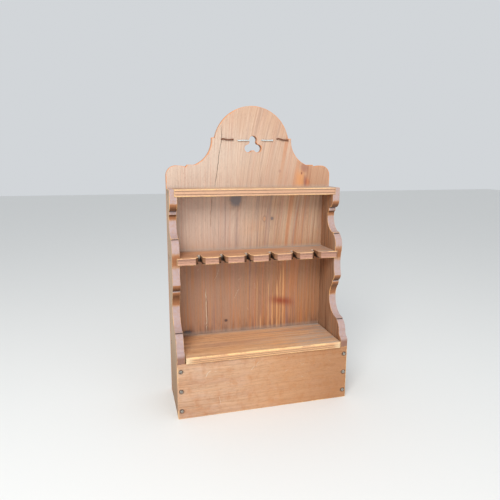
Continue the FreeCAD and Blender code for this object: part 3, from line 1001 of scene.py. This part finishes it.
def shelf_wood(name, seed, heart, palette, dust_share, rim, first, end_share, notches=None):
    """notches are the y where the pipe notches' hollows begin and the height of the shelf's middle."""
    s = Wood(name, "xyz", seed)
    s.grain(heart, 4.4, (), sway=3)
    s.colours(*palette, 0.75)
    top_face = s.step(s.facing["z"], 0.5, 0.95)
    s.worn(RAW, rim, 0.7, first)
    if notches:
        start, middle = notches
        hollow = s.step(s.y, start - 1, start + 4) * s.edge
        aside = s.step(s.math("ABSOLUTE", s.facing["x"]), 0.35, 0.8) * s.edge
        s.paint(aside * 0.85, 136, 94, 62)
        # painted shade: notch walls facing +x darker
        s.paint(s.step(s.facing["x"], 0.35, 0.6) * s.edge * 0.85, 104, 66, 44)
        # painted shade: near-black on the notches' walls below a line that rises towards the back
        shade_top = (s.y - start) * 0.35 + (middle - 4.5)
        low = s.step(s.z + s.chips * 3 - shade_top, 1.5, -1.5)
        s.paint(low * s.math("MAXIMUM", hollow, aside) * 0.95, 26, 17, 12)
        settled = s.step(s.facing["y"], -0.6, -0.95) * s.step(s.y, start + 4, start + 8) * s.edge
        s.paint(settled * s.step(s.z, middle - 2, middle + 4) * 0.75, 196, 184, 172)
    corner = s.step(s.y, DUST_LINE - 16, DUST_LINE) + s.step(s.x, 60, 165) * 0.4
    # dust on the top faces, thickest at the rear; the grey streaks on the right part are partly dust and
    # partly painted sheen
    dust_and_sheen_streaks = s.step(s.noise(s.x / 60, s.y / 7, seed, 3), 0.42, 0.62) * s.step(s.x, -60, 120)
    s.lay_dust_and_sheen(top_face * (corner * dust_share + dust_and_sheen_streaks * 0.5 + 0.1))
    ends = s.step(s.math("ABSOLUTE", s.x), 140, 156) * s.attribute("rim")
    s.paint(ends * end_share * (s.chips + 0.8), 244, 218, 176)
    smudged = s.step(s.noise(s.x / 26, s.y / 12, seed + 3, 3), 0.5, 0.72) * s.step(s.x, 0, -150)
    s.paint(smudged * top_face * 0.35, 150, 92, 60)
    stained = s.step(s.x, -95, -160) * s.step(s.y, 0, 40) * (s.patches * 1.2 + 0.2)
    s.paint(stained * top_face * 0.5, 112, 58, 40)
    return s.board_finish(0.52)


def box_wood(name, seed, axes, heart):
    s = Wood(name, axes, seed)
    s.grain(heart, 7.5, (), sway=8)
    s.colours((208, 168, 136), (190, 140, 104), (176, 128, 100), (202, 150, 110), 0.3)
    mottle = s.step(s.noise(s.x / 13, s.z / 24, seed, 4, 0.6), 0.45, 0.7)
    s.paint(mottle * 0.4, 182, 116, 70)
    greyed = s.step(s.noise(s.x / 30, s.z / 16, seed + 5, 3), 0.45, 0.7)
    s.paint(greyed * 0.3, 204, 170, 150)
    # painted shade: the boards darker and browner towards the right
    s.paint(s.step(s.x, -120, 60) * 0.45, 198, 134, 76)
    s.paint(s.step(s.x, 0, 170) * 0.5, 154, 100, 60)
    s.worn(RAW, (196, 140, 100), 0.5, 0.36, s.step(s.z, 111, 106))
    return s.board_finish(0.55)


def metal(name, base, spots, spot_share, metallic, roughness, seed):
    """Old iron or zinc with rust or dull spots."""
    s = Shader(name)
    coarse = s.noise(s.x / 1.6, s.y / 1.6, s.z / 1.6 + seed, 3, 0.6)
    fine = s.noise(s.x / 0.35, s.y / 0.35, s.z / 0.35 + seed)
    rust = s.step(coarse + (fine - 0.5) * 0.3, 0.62 - spot_share * 0.4, 0.72 - spot_share * 0.2)
    colour = s.scale(s.mix(rust, tone(*base), tone(*spots)), fine * 0.5 + 0.75)
    height = coarse * 0.6 + fine * 0.4
    return s.finish(colour, rust * 0.25 + roughness, height, 0.25, rust * -metallic + metallic)


# ======== The rack's boards ========
def put(piece, node, material, body="rack"):
    """Gives a piece its material, and lets it stand in for a CAD node."""
    piece.data.materials.clear()
    piece.data.materials.append(material)
    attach(piece, body)
    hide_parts(node)


def spots_on(board, nails):
    """The nails' heads as spots on a board's face."""
    heads = [(board.local(nail.head).xy, nail.head_radius + RECESS_GAP) for nail in nails]
    return [NailSpot(spot, radius, number * 2.3) for number, (spot, radius) in enumerate(heads)]


def scratches(board, count, longest, seed, along=(1.0, 0.25)):
    """A few pale scratches strewn over a face."""
    draw = random.Random(seed)
    found = []
    for number in range(count):
        u = draw.uniform(board.low.x + 12, board.high.x - 12)
        v = draw.uniform(board.low.y + 15, board.high.y - 15)
        length = draw.uniform(0.3, 1.0) * longest
        step = Vector((draw.uniform(-1, 1) * along[1], along[0])).normalized() * length
        end = Vector((u, v)) + step
        if all(board.low[i] + 4 < end[i] < board.high[i] - 4 for i in range(2)):
            pale = -draw.uniform(0.45, 0.9)
            found.append(Line([(u, v), end], 0.35, 0.12, pale, 0.4, seed + number))
    return found


nails = {}
for hand, away in (("left", LEFT), ("right", RIGHT)):
    nails["box_front_nails_" + hand] = nails_of("box_front_nails_" + hand, REAR)
    nails["backboard_nails_" + hand] = nails_of("backboard_nails_" + hand, FRONT)
    for kind in ("top_shelf_nails_", "pipe_shelf_nails_", "box_bottom_nails_", "hinge_pin_"):
        nails[kind + hand] = nails_of(kind + hand, -away)
for node in ("top_shelf_nails_back", "pipe_shelf_nails_back", "box_bottom_nails_back"):
    nails[node] = nails_of(node, FRONT)

# ---- backboard ----
back = Board("backboard", RIGHT, UP, FRONT)
back_lines = [  # four cracks and a broad pale scar
    Line([(-61.5, 559), (-63, 526), (-68, 499), (-73, 461), (-77.5, 434)], 0.55, 0.9, 1.0, 0.8, 1),
    Line([(-83, 421), (-84.5, 396), (-86, 378), (-86.5, 352)], 0.4, 0.5, 0.8, 0.5, 2),
    Line([(-98.6, 226), (-99, 190), (-97.5, 158), (-98.4, 122)], 1.1, 1.2, -1.0, 0.8, 3),
    Line([(-96.4, 215), (-96.8, 190), (-95.3, 158), (-96.4, 124)], 0.5, 0.6, 0.8, 0.8, 3),
    Line([(64, 285), (62, 250), (63, 215)], 0.25, 0.3, 0.5, 0.6, 4),
]
for ends in (
    [(-82, 238), (-74, 252), (-70, 266)],
    [(-38, 196), (-30, 214), (-24, 218)],
    [(-118, 262), (-112, 268)],
    [(-30, 236), (-22, 242)],
    [(-104, 150), (-100, 143), (-94, 140)],
    [(-120, 384), (-114, 380)],
    [(-8, 176), (-6, 166)],
    [(8, 230), (10, 214)],
):
    back_lines.append(Line(ends, 0.4, 0.15, -0.7, 0.4, ends[0][0]))
back_knots = (
    (-33.0, 412.0, 13.5, 18.0, (122, 118, 122), (160, 132, 114), 1.0),
    (46.0, 368.0, 3.4, 3.8, (110, 102, 104), (146, 112, 92), 0.9),
    (29.0, 368.0, 3.2, 5.6, (206, 156, 120), (126, 92, 80), 0.9),
    (-55.6, 149.0, 3.4, 3.0, (80, 68, 70), (120, 76, 56), 0.9),
    (62.0, 467.5, 3.2, 4.0, (168, 128, 116), (190, 144, 120), 0.45),
    (111.0, 463.0, 1.5, 3.0, (120, 72, 60), (190, 124, 90), 0.8),
    (-139.0, 130.0, 9.0, 4.0, (76, 70, 76), (110, 76, 64), 0.9),
)
rear_heads = [nail for node in nails for nail in nails[node] if nail.driven == FRONT]
shape = slab(
    back, back.outlines(), 1.5, (1.1, 7.5), (3.0, 15.0),
    lines=back_lines, rear_nails=spots_on(back, rear_heads),
)
put(shape, "backboard", backboard_wood(back_knots))

# ---- sides ----
for hand, away, across in (("left", LEFT, REAR), ("right", RIGHT, FRONT)):
    node = hand + "_side"
    side = Board(node, -across, UP, away)
    own = [nail for name in nails if name.endswith("_" + hand) for nail in nails[name]]
    heads = [nail for nail in own if nail.driven == -away]
    shape = slab(
        side, side.outlines(), 2.5 + away.x, nails=spots_on(side, heads), lines=scratches(side, 4, 22, 5)
    )
    cut_housings(shape)
    put(shape, node, side_wood(node + "_wood", 6.0 + away.x, -away.x))

# ---- shelves ----
def worn_front(board):
    """Rounder arrises along a shelf's front edge than at its hidden ends."""
    return lambda p, sign: (1.45 if sign > 0 else 1.1) if p.x > board.high.x - 6 else ARRIS_RADIUS


top = Board("top_shelf", FRONT, RIGHT, UP)
shape = slab(
    top, [top.rectangle()], 4.5, lines=scratches(top, 5, 24, 21),
    radius=worn_front(top), grooves=((0.2, 0.3), (0.74, 0.25)),
)
palette = ((220, 182, 146), (168, 120, 88), (176, 134, 112), (212, 162, 118))
wood = shelf_wood("top_shelf_wood", 8.0, (20, 350), palette, 0.5, (210, 162, 132), 0.26, 0)
put(shape, "top_shelf", wood)

pipes = Board("pipe_shelf", FRONT, RIGHT, UP)
shape = slab(
    pipes, pipes.outlines(), 5.5, lines=scratches(pipes, 6, 14, 31),
    radius=worn_front(pipes), grooves=((0.17, 0.3), (0.36, 0.15), (0.62, 0.12)),
)
palette = ((216, 160, 116), (160, 106, 72), (164, 114, 90), (206, 138, 90))
notches = (3.0 - pipes.high.x, (pipes.low.z + pipes.high.z) / 2)
wood = shelf_wood("pipe_shelf_wood", 12.0, (-30, 210), palette, 0.75, (192, 146, 130), 0.4, 0, notches)
put(shape, "pipe_shelf", wood)

# ---- box ----
front = Board("box_front", DOWN, RIGHT, FRONT)
front_heads = nails["box_front_nails_left"] + nails["box_front_nails_right"]
front_lines = scratches(front, 12, 14, 41, (1.0, 0.9))
for spots, half_width in (
    ([(-112, 104), (-110, 100)], 0.9),
    ([(-110, 95), (-118, 89), (-121, 80)], 1.1),
    ([(-106, 91), (-98, 90)], 0.6),
    ([(-96, 40), (-93, 28), (-94, 18)], 0.7),
    ([(-32, 84), (-24, 94)], 0.8),
    ([(-22, 88), (-19, 97), (-14, 102)], 0.6),
    ([(40, 100), (46, 104)], 0.6),
):
    front_lines.append(Line([(-z, x) for x, z in spots], half_width, 0.1, -0.7, 0.8, spots[0][0]))
shape = slab(front, [front.rectangle()], 6.5, lines=front_lines, nails=spots_on(front, front_heads))
put(shape, "box_front", box_wood("box_front_wood", 15.0, "xzy", (60, 60)))

bottom = Board("box_bottom", FRONT, RIGHT, UP)
shape = slab(bottom, [bottom.rectangle()], 7.5, (3.0, 15.0))
put(shape, "box_bottom", box_wood("box_bottom_wood", 19.0, "xyz", (10, -90)))

# ---- lid ----
lid_board = Board("lid", FRONT, RIGHT, UP)
LID_NOSING = 3.0
LID_UNDERSIDE = 1.6
LID_BACK = 3.5


def lid_radius(p, sign):
    if p.x > lid_board.high.x - 0.5:
        return LID_NOSING if sign > 0 else LID_UNDERSIDE
    if p.x < lid_board.low.x + 0.5:
        return LID_BACK
    return 0.8


def round_front_corners(board, radius):
    """The board's rectangle with its two front corners rounded."""
    u0, v0, u1, v1 = *board.low.xy, *board.high.xy
    points = [Vector((u0, v0))]
    for middle, start in ((v0 + radius, -90), (v1 - radius, 0)):
        for angle in range(start, start + 91, 30):
            turned = Vector((math.cos(math.radians(angle)), math.sin(math.radians(angle))))
            points.append(Vector((u1 - radius, middle)) + radius * turned)
    return points + [Vector((u0, v1))]


shape = slab(
    lid_board, [round_front_corners(lid_board, 2.0)], 8.5, radius=lid_radius,
    lines=scratches(lid_board, 9, 20, 51), grooves=((0.34, 0.35), (0.76, 0.25)),
)
palette = ((232, 182, 134), (184, 124, 78), (184, 138, 114), (224, 160, 102))
wood = shelf_wood("lid_wood", 23.0, (-40, 20), palette, 0.7, (220, 170, 128), 0.5, 0.8)
put(shape, "lid", wood, "lid")

# ---- nails ----
iron = metal("dark_iron", (194, 190, 180), (70, 54, 46), 0.5, 0.75, 0.4, 1.0)
for number, (node, shapes) in enumerate(sorted(nails.items())):
    put(make_nails(node, shapes, number * 1.9), node, iron)

# ---- hooks: nails bent over sideways ----
zinc = metal("zinc_wire", (226, 236, 238), (136, 134, 132), 0.2, 0.7, 0.3, 2.0)
rusty = metal("rusty_wire", (110, 86, 74), (122, 74, 50), 0.75, 0.6, 0.55, 3.0)
CROOKS = {  # how far the leg strays up at its start, middle and end
    "hook_nail_outer_left": (0.9, -0.7, -0.1),
    "hook_nail_inner_left": (-0.5, 0.2, 0.4),
    "hook_nail_inner_right": (0.0, -0.2, 0.1),
    "hook_nail_outer_right": (0.6, -0.5, 0.1),
}
for number, (node, crook) in enumerate(CROOKS.items()):
    low, high = (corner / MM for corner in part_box(node))
    outer = "outer" in node
    start_height = high.z - HOOK_THICKNESS / 2
    droop = max(0.0, (high.z - low.z) - HOOK_THICKNESS)
    nose = low.y + HOOK_THICKNESS / 2
    path = [Vector((low.x + 1.4, nose + HOOK_REACH, start_height))]
    path.append(Vector((low.x + 1.5, nose + 3.0, start_height)))
    path.append(Vector((low.x + 2.3, nose + 0.9, start_height)))
    path.append(Vector((low.x + 4.4, nose + 0.1, start_height + crook[0])))
    for share, stray in ((0.5, crook[1]), (0.8, 0.6 * crook[1]), (1.0, crook[2])):
        x = low.x + 1.4 + (high.x - low.x - 2.2) * share
        path.append(Vector((x, nose, start_height - droop * share + stray)))
    piece = wire("made_" + node, path, 0.35 if outer else 0.2, number * 5.1)
    put(piece, node, rusty if outer else zinc)

# ======== Room, light and camera ========
FLOOR_REACH = 6.0
floor_mesh = bpy.data.meshes.new("floor")
corners = [(x * FLOOR_REACH, y * FLOOR_REACH, 0) for x, y in ((-1, -1), (1, -1), (1, 1), (-1, 1))]
floor_mesh.from_pydata(corners, [], [(0, 1, 2, 3)])
floor = link("floor", floor_mesh)
paper = Shader("pale_floor")
floor.data.materials.append(paper.finish(tone(236, 236, 234), 0.9, 0.0, 0.1, specular=0.1))

world = bpy.data.worlds.new("soft_daylight")
bpy.context.scene.world = world
world.use_nodes = True
sky = world.node_tree.nodes["Background"].inputs
sky["Color"].default_value = tone(240, 244, 248)
sky["Strength"].default_value = 0.74


def soft_box(name, place, aim, size, power, colour):
    lamp = bpy.data.lights.new(name, "AREA")
    lamp.shape = "SQUARE"
    lamp.size = size
    lamp.energy = power
    lamp.color = colour
    made = bpy.data.objects.new(name, lamp)
    made.location = place
    made.rotation_euler = (Vector(aim) - Vector(place)).to_track_quat("-Z", "Y").to_euler()
    bpy.context.scene.collection.objects.link(made)


soft_box("key", (-0.75, -1.35, 1.55), (0, 0, 0.3), 0.9, 26, (1.0, 0.98, 0.95))
soft_box("fill", (0.9, -1.8, 0.9), (0, 0, 0.3), 1.2, 4, (0.95, 0.98, 1.0))

CAMERA_PLACE = Vector((-257.1, -878.0, 490.1))
CAMERA_TURN = math.radians(-15.29)
CAMERA_TILT = math.radians(90 - 11.03)
CAMERA_ROLL = math.radians(0.24)
camera = bpy.data.objects.new("camera", bpy.data.cameras.new("camera"))
camera.data.lens = 33.23
camera.data.sensor_width = 36.0
turned = Matrix.Rotation(CAMERA_TURN, 4, "Z") @ Matrix.Rotation(CAMERA_TILT, 4, "X")
camera.matrix_world = Matrix.Translation(CAMERA_PLACE * MM) @ turned @ Matrix.Rotation(CAMERA_ROLL, 4, "Z")
bpy.context.scene.collection.objects.link(camera)
bpy.context.scene.camera = camera
bpy.context.scene.view_settings.view_transform = "Standard"
